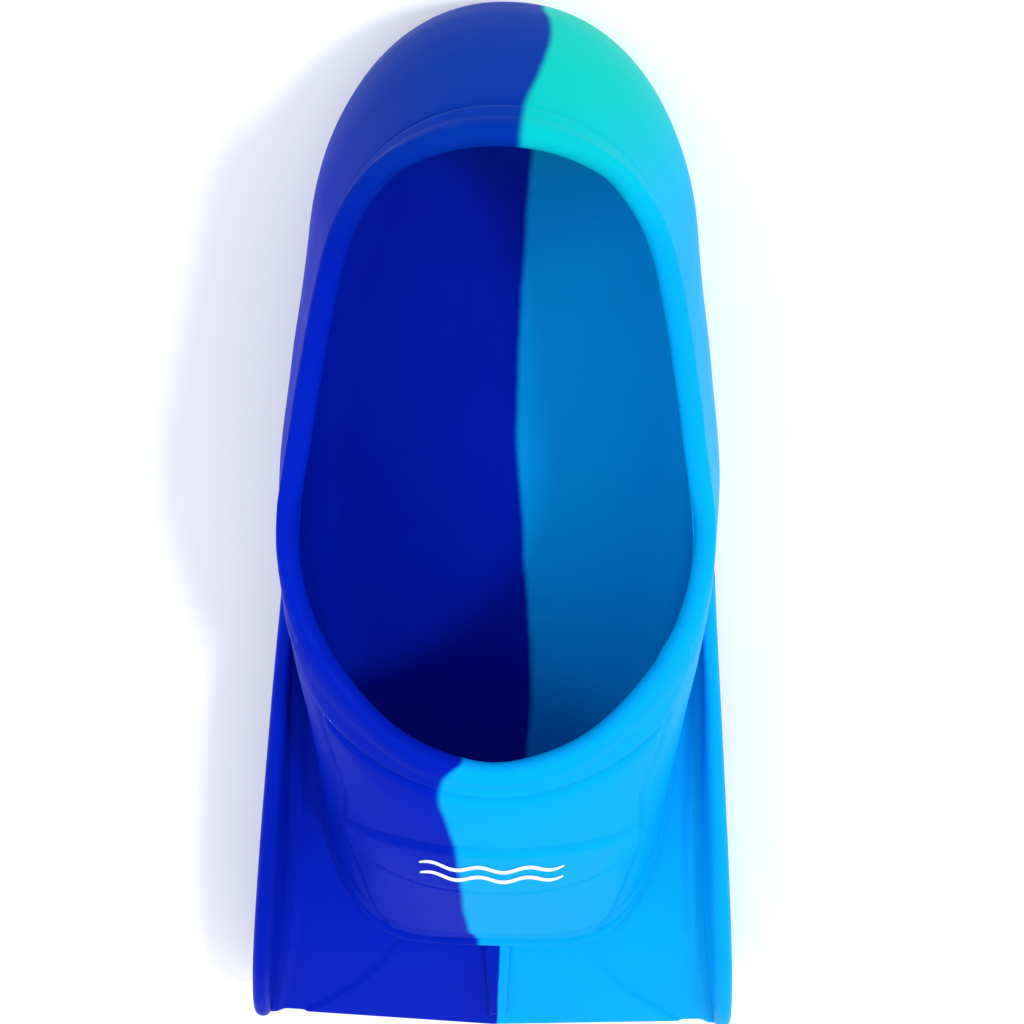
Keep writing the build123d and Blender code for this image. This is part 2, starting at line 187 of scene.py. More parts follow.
def wall_point(a, z, grow=0.0, inset=0.0):
    """(x, s) of the pocket's wall at angle a round it and height z, moved outwards by grow."""
    heel = value(HEEL_S, z) - grow + inset
    sloping, upright = value(TOE_S, z - TOE_RISE * grow), value(TOE_S, z) + grow
    toe = (min(sloping, upright) if grow < 0 else max(sloping, upright)) - inset
    widest = value(WIDEST_S, z)
    across, along = abs(sin(a)), abs(cos(a))
    if cos(a) > 0:
        reach = value(HEEL_REACH, z)
        s = widest - (widest - heel) * along
        ahead = max(0.0, heel + reach - s) / reach
        rounding = (1 - ahead ** HEEL_POWER) ** (1 / HEEL_POWER)
    else:
        power = value(TOE_POWER, z)
        radius = (across ** power + along ** power) ** (-1 / power)
        s = widest + (toe - widest) * along * radius
        rounding = across * radius
    lean = value(LEAN_IN, z) * (1 - 0.2 * min(1.0, max(0.0, (s - 50) / 50)))
    x = (value(HALF_WIDTH, s) - lean + grow - inset) * rounding
    return (x if sin(a) > 0 else -x), s


def offset_point(a, z, out, along=0.0):
    """Point in metres out from the wall along its normal, and up its slope, both in mm."""
    def place(turn, rise):
        return Vector((*wall_point(a + turn, z + rise), z + rise))

    slope = (place(0, 0.4) - place(0, -0.4)).normalized()
    normal = (place(0.006, 0) - place(-0.006, 0)).cross(slope).normalized()
    return at(*(place(0, 0) + normal * out + slope * along))


def slope_length(a, top):
    """Length of the wall, in mm, in its last mm of height below top."""
    return (offset_point(a, top, 0) - offset_point(a, top - 1, 0)).length / MM


def height_on(profile, half_widths, a):
    """Height at which the wall at angle a meets a side profile, or a plan curve over the instep."""
    low, high = SEARCH_Z
    for _ in range(SEARCH_STEPS):
        middle = (low + high) / 2
        x, s = wall_point(a, middle)
        over_foot = half_widths[0][0] < s < half_widths[-1][0] and abs(x) < value(half_widths, s)
        if middle < value(profile, s) and not over_foot:
            low = middle
        else:
            high = middle
    return low


def half_width_at(s, z, grow=0.0):
    """Half-width of the toe half of the pocket at distance s and height z."""
    widest, toe, power = value(WIDEST_S, z), value(TOE_S, z) + grow, value(TOE_POWER, z)
    if s >= toe:
        return 0.0
    lean = value(LEAN_IN, z) * 0.8
    rounding = (1 - max(0.0, (s - widest) / (toe - widest)) ** power) ** (1 / power)
    return (value(HALF_WIDTH, s) - lean + grow) * rounding


def instep_height(x, s):
    """Height of the instep's surface over a point of the plan."""
    low, high = INSTEP_Z
    for _ in range(SEARCH_STEPS):
        middle = (low + high) / 2
        if half_width_at(s, middle) > abs(x):
            low = middle
        else:
            high = middle
    return low


def near(v, half):
    """1 at 0, falling smoothly to 0 at half on either side."""
    return ease(half, 0.0, abs(v))


def instep_relief(x, s, z, sizes):
    """How far the panel and its band stand proud of the wall, less the fine grooves along their edges."""
    if s < PANEL_HALF[0][0] or z < INSTEP_Z[0]:
        return 0.0
    x = abs(x)
    edge = value(PANEL_HALF, s) - x
    panel = sizes.panel_step * ease(-0.7, 0.7, edge) - sizes.groove * near(edge + 1.5, 1.3)
    inside = min(s - value(BAND_FROM, x), value(BAND_TO, x) - s, BAND_HALF - x)
    band = (sizes.band_step - sizes.panel_step) * ease(-0.6, 0.6, inside)
    crease = -sizes.groove * near(inside + 1.2, 1.1) * ease(-0.5, 1.5, edge)
    fold = -0.8 * near(z - FOLD_Z, 2.6)
    return panel + band + crease + fold


# ---- mesh helpers -------------------------------------------------------------------------------
def finish_piece(name, bm, material):
    """Turn a bmesh into a shaded object that takes its finish from a material slot."""
    mesh = bpy.data.meshes.new(name)
    bm.to_mesh(mesh)
    bm.free()
    mesh.polygons.foreach_set("use_smooth", [True] * len(mesh.polygons))
    mesh.materials.append(material)
    piece = bpy.data.objects.new(name, mesh)
    bpy.context.scene.collection.objects.link(piece)
    return piece


def skin(bm, rings, wrapped):
    """Lay a grid over rings of points, all of one length; wrapped closes each ring on itself."""
    rows = [ring + ring[:1] for ring in rings] if wrapped else rings
    across = len(rows[0])
    made = bmesh.ops.create_grid(bm, x_segments=across - 1, y_segments=len(rows) - 1, size=1.0)["verts"]
    for index, vert in enumerate(made):
        vert.co = rows[index // across][index % across]
    if wrapped:
        bmesh.ops.remove_doubles(bm, verts=made, dist=1e-6)
    return made


def open_loops(bm):
    """The edges along which a mesh is still open."""
    return [edge for edge in bm.edges if len(edge.link_faces) == 1]


def cap_ends(bm):
    """Fill every open loop with one face each."""
    bmesh.ops.holes_fill(bm, edges=open_loops(bm), sides=0)


def face_outwards(bm):
    """Point every face of a closed mesh outwards."""
    bmesh.ops.recalc_face_normals(bm, faces=bm.faces[:])


# ---- materials ----------------------------------------------------------------------------------
class Nodes:
    """Short ways to add nodes to a material."""

    def __init__(self, name):
        self.material = bpy.data.materials.new(name)
        self.material.use_nodes = True
        self.tree = self.material.node_tree
        self.shader = self.tree.nodes["Principled BSDF"]

    def add(self, kind, **inputs):
        node = self.tree.nodes.new(kind)
        for key, setting in inputs.items():
            socket = node.inputs[int(key[1:])]
            if isinstance(setting, bpy.types.NodeSocket):
                self.tree.links.new(setting, socket)
            else:
                socket.default_value = setting
        return node

    def math(self, operation, a, b=0.0, clamp=False):
        node = self.add("ShaderNodeMath", i0=a, i1=b)
        node.operation = operation
        node.use_clamp = clamp
        return node.outputs[0]

    def ramp(self, value_socket, low, high):
        """Smooth 0 to 1 as a value goes from low to high."""
        node = self.add("ShaderNodeMapRange", i0=value_socket, i1=low, i2=high)
        node.interpolation_type = "SMOOTHSTEP"
        return node.outputs[0]

    def mix(self, factor, a, b):
        node = self.tree.nodes.new("ShaderNodeMix")
        node.data_type = "RGBA"
        for socket, setting in zip((node.inputs[0], node.inputs[6], node.inputs[7]), (factor, a, b)):
            if isinstance(setting, bpy.types.NodeSocket):
                self.tree.links.new(setting, socket)
            else:
                socket.default_value = setting
        return node.outputs[2]

    def curve(self, table, position):
        """Smooth curve through a table of (s, x) in mm, read at a position socket in metres."""
        reach, swing = 0.32, 0.04
        fraction = self.math("DIVIDE", position, reach, clamp=True)
        node = self.add("ShaderNodeFloatCurve", i1=fraction)
        points = node.mapping.curves[0].points
        wanted = [(s * MM / reach, x * MM / swing / 2 + 0.5) for s, x in table if 0 <= s * MM <= reach]
        points[0].location, points[1].location = wanted[0], wanted[-1]
        for s, x in wanted[1:-1]:
            points.new(s, x)
        node.mapping.update()
        centred = self.math("SUBTRACT", node.outputs[0], 0.5)
        return self.math("MULTIPLY", centred, 2 * swing)


def silicone(name, seams, feather, colours):
    """Satin silicone, blue on one side of a seam and cyan on the other.

    seams is one table, or two: the lower one holds near the sole and the upper one above the foot.
    """
    n = Nodes(name)
    place = n.tree.nodes.new("ShaderNodeTexCoord").outputs["Object"]
    axes = n.add("ShaderNodeSeparateXYZ", i0=place).outputs
    from_heel = n.math("SUBTRACT", HEEL_Y, axes[1])
    seam = n.curve(seams[-1], from_heel)
    if len(seams) == 2:
        lower, height = n.curve(seams[0], from_heel), n.ramp(axes[2], 0.014, 0.044)
        rise = n.math("MULTIPLY", n.math("SUBTRACT", seam, lower), height)
        seam = n.math("ADD", lower, rise)
    wander = n.add("ShaderNodeTexNoise", i0=place, i2=55.0, i3=3.0).outputs[0]
    past = n.math("SUBTRACT", n.math("SUBTRACT", axes[0], seam), n.math("MULTIPLY", wander, 0.0016))
    cyan_part = n.ramp(past, -feather * MM, feather * MM)

    # Painted shade: towards the back of the heel both colours turn darker and greener, standing in for the
    # light falling off over the heel's curve
    heel_shade = n.ramp(from_heel, 0.052, 0.004)
    grain = n.add("ShaderNodeTexNoise", i0=place, i2=14.0, i3=4.0).outputs[0]
    blue = n.mix(n.ramp(grain, 0.35, 0.75), (*colours.blue, 1), (*colours.blue_deep, 1))
    blue = n.mix(n.math("MULTIPLY", heel_shade, 0.8), blue, (*colours.blue_heel_shade, 1))
    cyan = n.mix(n.ramp(grain, 0.35, 0.75), (*colours.cyan, 1), (*colours.cyan_deep, 1))
    cyan = n.mix(heel_shade, cyan, (*colours.cyan_heel_shade, 1))
    body = n.mix(cyan_part, blue, cyan)

    # A few specks of dust
    dust = n.add("ShaderNodeTexVoronoi", i0=place, i2=130.0)
    speck = n.ramp(dust.outputs["Distance"], 0.045, 0.025)
    chosen = n.ramp(n.add("ShaderNodeSeparateColor", i0=dust.outputs["Color"]).outputs[0], 0.955, 0.96)
    dusty = n.math("MULTIPLY", n.math("MULTIPLY", speck, chosen), 0.55)
    n.tree.links.new(n.mix(dusty, body, (0.75, 0.85, 0.95, 1)), n.shader.inputs["Base Color"])

    # Scuffed patches are duller
    scuff = n.add("ShaderNodeTexNoise", i0=place, i2=32.0, i3=6.0).outputs[0]
    rough = n.add("ShaderNodeMapRange", i0=scuff, i1=0.3, i2=0.75, i3=0.36, i4=0.5).outputs[0]
    n.tree.links.new(rough, n.shader.inputs["Roughness"])
    # Fine moulded grain over a softly uneven surface
    fine = n.add("ShaderNodeTexNoise", i0=place, i2=1900.0, i3=2.0).outputs[0]
    soft = n.add("ShaderNodeTexNoise", i0=place, i2=70.0, i3=3.0).outputs[0]
    relief = n.math("ADD", n.math("MULTIPLY", fine, 0.35), soft)
    bump = n.add("ShaderNodeBump", i0=0.14, i1=0.0008, i3=relief)
    n.tree.links.new(bump.outputs[0], n.shader.inputs["Normal"])
    n.shader.inputs["IOR"].default_value = 1.2
    n.shader.inputs["Specular IOR Level"].default_value = 0.07
    n.shader.inputs["Subsurface Weight"].default_value = 0.12
    n.shader.inputs["Subsurface Radius"].default_value = (0.2, 0.7, 1.0)
    n.shader.inputs["Subsurface Scale"].default_value = 0.003
    return n.material


def shared(name, make):
    """A material made once and then shared between pieces."""
    return bpy.data.materials.get(name) or make()


def pocket_silicone():
    """Both colours of the pocket, with a soft seam."""
    colours = bpy.context.scene.fin_colours
    return shared("pocket_silicone",
                  lambda: silicone("pocket_silicone", [SEAM_SOLE, SEAM_UPPER], 1.1, colours))


def blade_silicone():
    """Both colours of the blade, with a crisp seam."""
    colours = bpy.context.scene.fin_colours
    return shared("blade_silicone", lambda: silicone("blade_silicone", [SEAM_BLADE], 0.3, colours))


def print_ink():
    """White ink, slightly worn."""
    n = Nodes("white_print_ink")
    place = n.tree.nodes.new("ShaderNodeTexCoord").outputs["Object"]
    wear = n.add("ShaderNodeTexNoise", i0=place, i2=900.0, i3=3.0).outputs[0]
    white = (*bpy.context.scene.fin_colours.ink, 1)
    worn = tuple(0.86 * part for part in white[:3]) + (1,)
    n.tree.links.new(n.mix(n.ramp(wear, 0.52, 0.72), white, worn), n.shader.inputs["Base Color"])
    n.shader.inputs["Roughness"].default_value = 0.55
    return n.material


# ---- sizes and colours that a user would change -------------------------------------------------
def size_property(name, description, millimetres, least=0.0, most=10.0):
    """A length of the fin, given in mm and kept in metres."""
    return FloatProperty(name=name, description=description, default=millimetres * MM, min=least * MM,
                         max=most * MM, precision=5, subtype="DISTANCE", unit="LENGTH")


class FinSizes(bpy.types.PropertyGroup):
    wall: size_property("Wall", "Thickness of the pocket's wall", 3.2, least=1, most=6)
    collar_step: size_property("Collar step", "How far the collar stands proud", 0.9)
    bead: size_property("Bead", "Extra thickness of the bead round the opening", 0.55)
    panel_step: size_property("Panel step", "How far the instep panel stands proud", 0.9)
    band_step: size_property("Band step", "How far the instep band stands proud", 1.7)
    groove: size_property("Groove", "Depth of the grooves along the instep's edges", 0.5)
    tread_depth: size_property("Tread depth", "Depth of the grooves underneath", 0.9)
    fan_step: size_property("Fan step", "How far the blade's fan stands proud", 0.9)
    rib_height: size_property("Rib height", "Height of the centre rib", 1.9)
    columns: IntProperty(name="Columns", description="Points round the pocket", default=360, min=48,
                         max=400)


def sizes_in_mm(context):
    """The scene's sizes as plain numbers, with every length in mm."""
    group = context.scene.fin_sizes
    lengths = [name for name in FinSizes.__annotations__ if name != "columns"]
    return SimpleNamespace(columns=group.columns,
                           **{name: round(getattr(group, name) / MM, 4) for name in lengths})


def colour_property(name, description, default):
    """A colour in linear values."""
    return FloatVectorProperty(name=name, description=description, subtype="COLOR", size=3, default=default,
                               min=0.0, max=1.0)


class FinColours(bpy.types.PropertyGroup):
    blue: colour_property("Blue", "Blue silicone", (0.0003, 0.013, 0.43))
    blue_deep: colour_property("Deep blue", "Darker drift of the blue", (0.0002, 0.009, 0.35))
    # Painted shade: a darker blue for the back of the heel, where its curve turns away from the light
    blue_heel_shade: colour_property("Heel blue", "Blue at the back of the heel", (0.0003, 0.034, 0.26))
    cyan: colour_property("Cyan", "Cyan silicone", (0.0006, 0.36, 0.82))
    cyan_deep: colour_property("Deep cyan", "Darker drift of the cyan", (0.0005, 0.33, 0.78))
    # Painted shade: a greener cyan for the back of the heel, where its curve turns away from the light
    cyan_heel_shade: colour_property("Heel cyan", "Greener cyan at the back of the heel", (0.0008, 0.50, 0.42))
    ink: colour_property("Ink", "White printed mark", (0.86, 0.89, 0.92))
    floor: colour_property("Floor", "Pale floor", (0.93, 0.93, 0.93))


# ---- pieces ---------------------------------------------------------------------------------------
def colour_pair(*zones):
    """The blue and the cyan frame node of each zone."""
    return [f"{zone}_{colour}" for zone in zones for colour in ("blue", "cyan")]


def rim_depth(sizes):
    """How far the rounded edge of the opening reaches beyond the flat of its wall."""
    return RIM_ROUNDNESS / 2 * (sizes.collar_step + sizes.wall + 2 * sizes.bead)


def outer_rows(angles, rim, sizes):
    """Rings up the outside: the wall with its instep relief, then the collar up to its rim."""
    foot = [height_on(COLLAR_Z, COLLAR_HALF, a) for a in angles]
    stretch = [slope_length(a, top) for a, top in zip(angles, foot)]
    rows, wall_rows, collar_rows = [], 150, 16
    for k in range(wall_rows + 1):
        share = 1 - (1 - k / wall_rows) ** 1.4
        ring = []
        for a, top, per_mm in zip(angles, foot, stretch):
            z = top * share
            x, s = wall_point(a, z)
            below = (top - z) * per_mm
            grow = instep_relief(x, s, z, sizes) * ease(0.0, 3.0, below) - 0.35 * near(below, 2.6)
            ring.append(offset_point(a, z, grow) if grow else at(x, s, z))
        rows.append(ring)
    for k in range(collar_rows + 1):
        t = k / collar_rows
        out = sizes.collar_step * (0.7 + 0.3 * ease(0, 0.15, t)) + sizes.bead * ease(0.5, 0.85, t)
        rows.append([offset_point(a, low + (high - low) * t, out, -rim_depth(sizes) * t)
                     for a, low, high in zip(angles, foot, rim)])
    return rows


def rim_rows(angles, rim, rows, sizes):
    """Rings over the rounded edge of the opening, from the last outer ring to the first inner one."""
    inner = [offset_point(a, z, -sizes.wall - sizes.bead, -rim_depth(sizes)) for a, z in zip(angles, rim)]
    outer, below = rows[-1], rows[-3]
    made, steps = [], 9
    for k in range(1, steps):
        turn = pi * k / steps
        ring = []
        for high, low, inside in zip(outer, below, inner):
            middle, half = (high + inside) / 2, (high - inside) / 2
            slope = (high - low).normalized()
            slope = (slope - half * slope.dot(half) / half.length_squared).normalized()
            ring.append(middle + half * cos(turn) + slope * half.length * RIM_ROUNDNESS * sin(turn))
        made.append(ring)
    return made + [inner]


def inner_rows(angles, rim, sizes):
    """Rings down the inside and over the rounding into the footbed, then in towards its middle."""
    steps, rows = 40, []
    stretch = [slope_length(a, top) for a, top in zip(angles, rim)]
    for k in range(1, steps + 1):
        down, ring = (k / steps) ** 1.6, []
        for a, top, per_mm in zip(angles, rim, stretch):
            z = top - (top - FLOOR_ROUND_Z) * down
            point = at(*wall_point(a, z, -sizes.wall, value(FLOOR_ROUNDING, z)), z)
            if z > 34:
                bead = sizes.bead * ease(8.0, 3.0, (top - z) * per_mm)
                upper = offset_point(a, z, -sizes.wall - bead, -rim_depth(sizes) * (1 - k / steps))
                point = point.lerp(upper, ease(34, 48, z))
            ring.append(point)
        rows.append(ring)
    for k in range(1, 11):
        z = FLOOR_Z + (FLOOR_ROUND_Z - FLOOR_Z) * (1 - sin(pi / 2 * k / 10))
        rows.append([at(*wall_point(a, z, -sizes.wall, value(FLOOR_ROUNDING, z)), z) for a in angles])
    edge = [wall_point(a, FLOOR_Z, -sizes.wall, value(FLOOR_ROUNDING, FLOOR_Z)) for a in angles]
    for k in range(1, 13):
        left = 1 - k / 12.6
        z = FLOOR_Z - 0.5 * (1 - left ** 2)
        rows.append([at(x * left, FOOTBED_MIDDLE_S + (s - FOOTBED_MIDDLE_S) * left, z) for x, s in edge])
    return rows


def cut_tread(bm, sizes):
    """Shallow grooves across the underside, sunk into the flat face there."""
    grooves = [(s, s + TREAD_WIDTH) for s in range(TREAD_FROM_S, TREAD_TO_S, TREAD_PITCH)]
    cuts = [(Vector((0, HEEL_Y - s * MM, 0)), Vector((0, 1, 0))) for pair in grooves for s in pair]
    cuts += [(Vector((side * TREAD_HALF_WIDTH * MM, 0, 0)), Vector((1, 0, 0))) for side in (-1, 1)]
    for point, direction in cuts:
        under = [f for f in bm.faces if all(abs(v.co.z) < 1e-6 for v in f.verts)]
        around = list(dict.fromkeys(e for f in under for e in f.edges))
        bmesh.ops.bisect_plane(bm, geom=under + around, dist=1e-7, plane_co=point, plane_no=direction)
    sunk = []
    for face in bm.faces:
        middle = face.calc_center_median()
        s = (HEEL_Y - middle.y) / MM
        in_tread = abs(middle.z) < 1e-6 and abs(middle.x) < TREAD_HALF_WIDTH * MM
        if in_tread and any(a < s < b for a, b in grooves):
            sunk.append(face)
    walls = bmesh.ops.extrude_face_region(bm, geom=sunk)["geom"]
    lifted = [g for g in walls if isinstance(g, bmesh.types.BMVert)]
    bmesh.ops.translate(bm, verts=lifted, vec=(0, 0, sizes.tread_depth * MM))
    bmesh.ops.delete(bm, geom=sunk, context="FACES")


class FIN_OT_foot_pocket(bpy.types.Operator):
    """Mould the foot pocket: wall, instep relief, collar, bead, footbed and tread"""
    bl_idname = "swim_fin.foot_pocket"
    bl_label = "Foot pocket"

    def execute(self, context):
        sizes = sizes_in_mm(context)
        even = [2 * pi * (k + 0.5) / sizes.columns for k in range(sizes.columns)]
        angles = [a + 0.35 * sin(a) for a in even]      # closer together over the instep and toe
        rim = [height_on(RIM_Z, RIM_HALF, a) for a in angles]
        rows = outer_rows(angles, rim, sizes)
        rows += rim_rows(angles, rim, rows, sizes) + inner_rows(angles, rim, sizes)
        bm = bmesh.new()
        skin(bm, rows, wrapped=True)
        cap_ends(bm)
        face_outwards(bm)
        cut_tread(bm, sizes)
        piece = finish_piece("foot_pocket_moulding", bm, pocket_silicone())
        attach(piece, "foot_pocket")
        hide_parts(*colour_pair("sole", "heel_cup", "side_wall", "toe_box", "opening_collar",
                                        "instep_panel", "instep_band"))
        return {"FINISHED"}


class FIN_OT_toe_lip(bpy.types.Operator):
    """Mould the lip that runs round the toe where the pocket meets the blade"""
    bl_idname = "swim_fin.toe_lip"
    bl_label = "Toe lip"

    def execute(self, context):
        steps, rings = 150, []
        for k in range(steps + 1):
            a = pi * (0.56 + 0.88 * k / steps)
            fade = min(1.0, 9 * min(k, steps - k) / steps)
            x_in, s_in = wall_point(a, LIP_Z, LIP_ROOT)
            x, s = wall_point(a, LIP_Z, LIP_REACH)
            s = s + (LIP_TOE_S - POCKET_TOE_S - LIP_REACH) * ease(238, 255, s)
            x, s = x_in + (x - x_in) * fade, s_in + (s - s_in) * fade
            ring = [at(x_in, s_in, LIP_Z + LIP_HALF_HEIGHT), at(x_in, s_in, LIP_Z - 2.6)]
            for j in range(9):
                turn = pi * (j / 8 - 0.5)
                out, up = 1 - 0.28 * (1 - cos(turn)), LIP_HALF_HEIGHT * sin(turn)
                ring.append(at(x_in + (x - x_in) * out, s_in + (s - s_in) * out, LIP_Z + up))
            rings.append(ring)
        bm = bmesh.new()
        skin(bm, rings, wrapped=True)
        cap_ends(bm)
        face_outwards(bm)
        piece = finish_piece("toe_lip_moulding", bm, pocket_silicone())
        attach(piece, "foot_pocket")
        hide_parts(*colour_pair("toe_lip"))
        return {"FINISHED"}


def rail_section(s, side, scale=1.0):
    """Ring round a rail at distance s: up its outer face, over the crest and down its flared inner face."""
    outer, top, foot = value(RAIL_OUTER, s), value(RAIL_CREST, s), value(RAIL_FOOT, s)
    thick, height = value(RAIL_THICK, s), top - foot
    outside = [(0, 0.5), (0.3, 0.0), (0.6, 0.3), (1, 1.0)]
    inside = [(0, min(6.0, thick)), (0.3, 0.8 * thick + 0.8), (0.56, thick + 0.8),
              (0.66, 0.8 * thick + 0.6), (0.8, 0.56 * thick + 1.4), (1, min(5.0, thick) + 0.7)]
    rounding = min(0.45, 3.0 / height)
    points, steps = [], 26
    for k in range(2 * steps):
        up = k < steps
        h = (1 - cos(pi * (k + 0.5) / steps)) / 2 if up else (1 + cos(pi * (k - steps + 0.5) / steps)) / 2
        near_end = max(0.0, (abs(2 * h - 1) - (1 - 2 * rounding)) / (2 * rounding))
        narrow = sqrt(max(0.0, 1 - near_end ** 2))
        out, into = value(outside, h), value(inside, h)
        middle, half = (out + into) / 2, (into - out) / 2 * narrow
        x = outer - (middle - half if up else middle + half)
        centre_x, centre_z = outer - 3.2, foot + height * 0.5
        points.append(at(side * (centre_x + (x - centre_x) * scale), s,
                         centre_z + (foot + h * height - centre_z) * scale))
    return points


class FIN_OT_rails(bpy.types.Operator):
    """Mould the two side rails along the blade"""
    bl_idname = "swim_fin.rails"
    bl_label = "Side rails"

    def execute(self, context):
        for side, colour in ((-1, "blue"), (1, "cyan")):
            stations = [RAIL_START_S + 2.2 * k for k in range(64)] + [279 + 1.1 * k for k in range(16)]
            rings = [rail_section(s, side) for s in stations if s < RAIL_END_S]
            for k in range(7):
                turn = pi / 2 * k / 6.3
                ring = rail_section(RAIL_END_S, side, cos(turn))
                rings.append([p + Vector((0, -2.6 * MM * sin(turn), 0)) for p in ring])
            bm = bmesh.new()
            skin(bm, rings, wrapped=True)
            cap_ends(bm)
            face_outwards(bm)
            piece = finish_piece(f"side_rail_{colour}", bm, blade_silicone())
            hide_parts(f"rail_root_{colour}", f"rail_tip_{colour}")
            bend_with_blade(piece)
        return {"FINISHED"}


def bend_with_blade(piece):
    """Bake a piece's placement into its mesh; the piece is not bent."""
    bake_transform(piece)


def web_surface(x, s, fan_step):
    """(s, top, bottom) of the web, with its trailing edge a shallow V and rounded."""
    end = LENGTH - WEB_CORNER_DROP * min(1.0, abs(x) / 66)
    if s > WEB_WARP_S:
        s_real = WEB_WARP_S + (s - WEB_WARP_S) * (end - WEB_WARP_S) / (LENGTH - WEB_WARP_S)
    else:
        s_real = s
    fan = fan_step * ease(-0.7, 0.7, value(FAN_HALF, s_real) - abs(x)) * ease(250, 256, s)
    top = value(WEB_TOP, s_real)
    thick = value(WEB_THICK, s_real)
    edge = sqrt(max(0.0, 1 - (max(0.0, s - LENGTH + 1.3) / 1.3) ** 2))
    fillet = 1.8 * ease(4.5, 0.0, value(RAIL_OUTER, s_real) - value(RAIL_THICK, s_real) - abs(x)) ** 2
    middle = top - thick / 2
    return s_real, middle + (thick / 2 + fan + fillet) * edge, middle - thick / 2 * edge


class FIN_OT_web(bpy.types.Operator):
    """Mould the blade's web between the rails, with its thicker fan"""
    bl_idname = "swim_fin.web"
    bl_label = "Blade web"

    def execute(self, context):
        fan_step = sizes_in_mm(context).fan_step
        stations = [WEB_START_S + 2.5 * k for k in range(41)] + [245 + k * 0.8 for k in range(65)]
        stations += [297.6 + 0.3 * k for k in range(8)] + [LENGTH]
        tops, across = [], 96
        for s in stations:
            inner = half_width_at(s, 28.0, -1.4) if s < 253.3 else 0.0
            outer = value(RAIL_OUTER, s) - 3.0
            xs = [inner + (outer - inner) * k / across for k in range(across + 1)]
            tops.append([(x, *web_surface(x, s, fan_step)) for x in xs])
        bm = bmesh.new()
        skin(bm, [[at(x, s, high) for x, s, high, low in row] for row in tops], wrapped=False)
        top_verts = list(bm.verts)
        lows = [low for row in tops for x, s, high, low in row]
        made = bmesh.ops.extrude_face_region(bm, geom=bm.faces[:])["geom"]
        under = [g for g in made if isinstance(g, bmesh.types.BMVert)]
        height = {(round(v.co.x, 8), round(v.co.y, 8)): low for v, low in zip(top_verts, lows)}
        for vert in under:
            vert.co.z = height[(round(vert.co.x, 8), round(vert.co.y, 8))] * MM
        bmesh.ops.mirror(bm, geom=bm.verts[:] + bm.edges[:] + bm.faces[:], matrix=Matrix.Identity(4),
                         merge_dist=1e-6, axis="X")
        bmesh.ops.remove_doubles(bm, verts=bm.verts[:], dist=1e-6)
        inside = [f for f in bm.faces if all(abs(v.co.x) < 1e-6 for v in f.verts)]
        bmesh.ops.delete(bm, geom=inside, context="FACES")
        face_outwards(bm)
        piece = finish_piece("blade_web_moulding", bm, blade_silicone())
        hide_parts(*colour_pair("web_root", "blade_web", "blade_fan"))
        bend_with_blade(piece)
        return {"FINISHED"}


class FIN_OT_centre_rib(bpy.types.Operator):
    """Mould the tapered rib down the middle of the blade"""
    bl_idname = "swim_fin.centre_rib"
    bl_label = "Centre rib"

    def execute(self, context):
        sizes, rings = sizes_in_mm(context), []
        for k in range(45):
            s = 256 + 39.5 * k / 44
            centre, half = 1.2 + 0.5 * (s - 258) / 38, 4.2 - 1.6 * (s - 258) / 38
            rise = (sizes.fan_step + sizes.rib_height) * ease(295.6, 292.0, s) + 0.02
            top = value(WEB_TOP, s)
            profile = [(-1.0, -1.2), (-0.97, 0.3), (-0.9, 0.8), (-0.76, 1.0), (-0.55, 0.86),
                       (-0.3, 0.72), (0.0, 0.7), (0.3, 0.72), (0.55, 0.86), (0.76, 1.0), (0.9, 0.8),
                       (0.97, 0.3), (1.0, -1.2)]
            rings.append([at(centre + half * across, s, top + (rise * up if up > 0 else up))
                          for across, up in profile])
        bm = bmesh.new()
        skin(bm, rings, wrapped=True)
        cap_ends(bm)
        face_outwards(bm)
        piece = finish_piece("centre_rib_moulding", bm, blade_silicone())
        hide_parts(*colour_pair("centre_rib"))
        bend_with_blade(piece)
        return {"FINISHED"}


class FIN_OT_print_mark(bpy.types.Operator):
    """Print two plain waves on the instep band"""
    bl_idname = "swim_fin.print_mark"
    bl_label = "Printed mark"

    def execute(self, context):
        lift = sizes_in_mm(context).band_step + WAVE_LIFT
        bm = bmesh.new()
        for row_s in WAVE_ROWS_S:
            rows = []
            for k in range(91):
                x = WAVE_HALF_LENGTH * (k / 45 - 1)
                stroke = WAVE_STROKE * sqrt(max(0.02, 1 - (x / (WAVE_HALF_LENGTH + 0.4)) ** 6))
                middle = row_s + WAVE_SWING * sin(2 * pi * x / WAVE_PITCH)
                row = []
                for side in (-1, -0.4, 0.4, 1):
                    s = middle + stroke * side
                    z = instep_height(x, s)
                    fall = (instep_height(x, s + 1) - instep_height(x, s - 1)) / 2
                    tilt = (instep_height(x + 1, s) - instep_height(x - 1, s)) / 2
                    normal = Vector((-tilt, -fall, 1)).normalized() * lift
                    row.append(at(x + normal.x, s + normal.y, z + normal.z))
                rows.append(row)
            skin(bm, rows, wrapped=False)
        face_outwards(bm)
        up = bm.faces[:]
        if up[0].normal.z < 0:
            bmesh.ops.reverse_faces(bm, faces=up)
        made = bmesh.ops.extrude_face_region(bm, geom=up)["geom"]
        top = [g for g in made if isinstance(g, bmesh.types.BMVert)]
        bmesh.ops.translate(bm, verts=top, vec=(0, -0.00005, 0.00012))
        face_outwards(bm)
        piece = finish_piece("wave_print", bm, print_ink())
        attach(piece, "foot_pocket")
        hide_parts("printed_mark")
        return {"FINISHED"}


# ---- stage ------------------------------------------------------------------------------------------
def soft_light(name, place, target, size, power):
    """A round studio light at a place, aimed at a target."""
    lamp = bpy.data.lights.new(name, "AREA")
    lamp.shape, lamp.size, lamp.energy = "DISK", size, power
    light = bpy.data.objects.new(name, lamp)
    bpy.context.scene.collection.objects.link(light)
    light.location = place
    light.rotation_euler = (Vector(target) - Vector(place)).to_track_quat("-Z", "Y").to_euler()


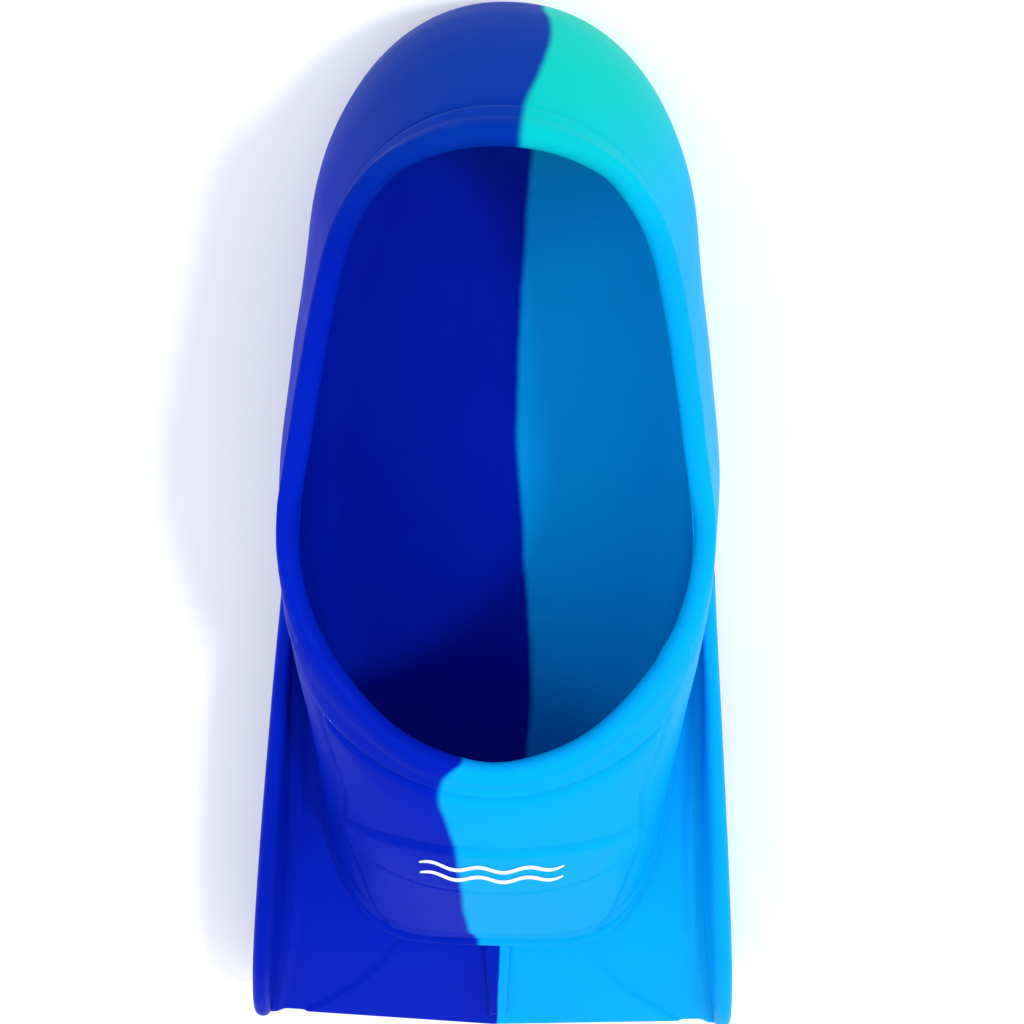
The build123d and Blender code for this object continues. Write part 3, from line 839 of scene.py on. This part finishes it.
class FIN_OT_stage(bpy.types.Operator):
    """Lay the pale floor and set the lights and the camera"""
    bl_idname = "swim_fin.stage"
    bl_label = "Stage"

    def execute(self, context):
        scene = context.scene
        bm = bmesh.new()
        bmesh.ops.create_grid(bm, x_segments=8, y_segments=8, size=3.0)
        bmesh.ops.translate(bm, verts=bm.verts[:], vec=(0, 0, -0.0004))
        mesh = bpy.data.meshes.new("pale_floor")
        bm.to_mesh(mesh)
        bm.free()
        paint = Nodes("floor_paper")
        paint.shader.inputs["Base Color"].default_value = (*scene.fin_colours.floor, 1)
        paint.shader.inputs["Roughness"].default_value = 0.9
        paint.shader.inputs["Specular IOR Level"].default_value = 0.5
        mesh.materials.append(paint.material)
        floor = bpy.data.objects.new("pale_floor", mesh)
        scene.collection.objects.link(floor)

        world = bpy.data.worlds.new("studio")
        world.use_nodes = True
        world.node_tree.nodes["Background"].inputs[0].default_value = (0.95, 0.97, 1.0, 1)
        world.node_tree.nodes["Background"].inputs[1].default_value = 1.1
        scene.world = world
        soft_light("key", (0.55, 0.25, 1.0), (0, 0, 0.03), 0.16, 4.5)
        soft_light("fill", (-0.6, 0.5, 1.0), (0, 0, 0.03), 0.3, 1.5)

        lens = bpy.data.cameras.new("camera")
        lens.sensor_width, lens.lens = CAMERA_SENSOR, CAMERA_LENS
        camera = bpy.data.objects.new("camera", lens)
        scene.collection.objects.link(camera)
        forward = Vector(CAMERA_FORWARD).normalized()
        right = forward.cross(Vector(CAMERA_UP)).normalized()
        up = right.cross(forward)
        turn = Matrix((right, up, -forward)).transposed().to_4x4()
        camera.matrix_world = Matrix.Translation(Vector(CAMERA_PLACE)) @ turn
        scene.camera = camera
        scene.view_settings.view_transform = "Standard"
        return {"FINISHED"}


# ---- add-on ---------------------------------------------------------------------------------------
OPERATORS = (FIN_OT_foot_pocket, FIN_OT_toe_lip, FIN_OT_rails, FIN_OT_web, FIN_OT_centre_rib,
             FIN_OT_print_mark, FIN_OT_stage)


class FIN_PT_panel(bpy.types.Panel):
    """Sizes, colours and pieces of the swim fin"""
    bl_idname = "FIN_PT_panel"
    bl_label = "Swim fin"
    bl_space_type = "VIEW_3D"
    bl_region_type = "UI"
    bl_category = "Swim fin"

    def draw(self, context):
        for group in (context.scene.fin_sizes, context.scene.fin_colours):
            box = self.layout.box()
            for name in group.bl_rna.properties.keys():
                if name not in ("rna_type", "name"):
                    box.prop(group, name)
        for operator in OPERATORS:
            self.layout.operator(operator.bl_idname)


CLASSES = (FinSizes, FinColours, *OPERATORS, FIN_PT_panel)


def register():
    for cls in CLASSES:
        bpy.utils.register_class(cls)
    bpy.types.Scene.fin_sizes = PointerProperty(type=FinSizes)
    bpy.types.Scene.fin_colours = PointerProperty(type=FinColours)


def unregister():
    del bpy.types.Scene.fin_colours
    del bpy.types.Scene.fin_sizes
    for cls in reversed(CLASSES):
        bpy.utils.unregister_class(cls)


def main():
    register()
    bpy.ops.swim_fin.foot_pocket()
    bpy.ops.swim_fin.toe_lip()
    bpy.ops.swim_fin.rails()
    bpy.ops.swim_fin.web()
    bpy.ops.swim_fin.centre_rib()
    bpy.ops.swim_fin.print_mark()
    bpy.ops.swim_fin.stage()


if __name__ == "__main__":
    main()
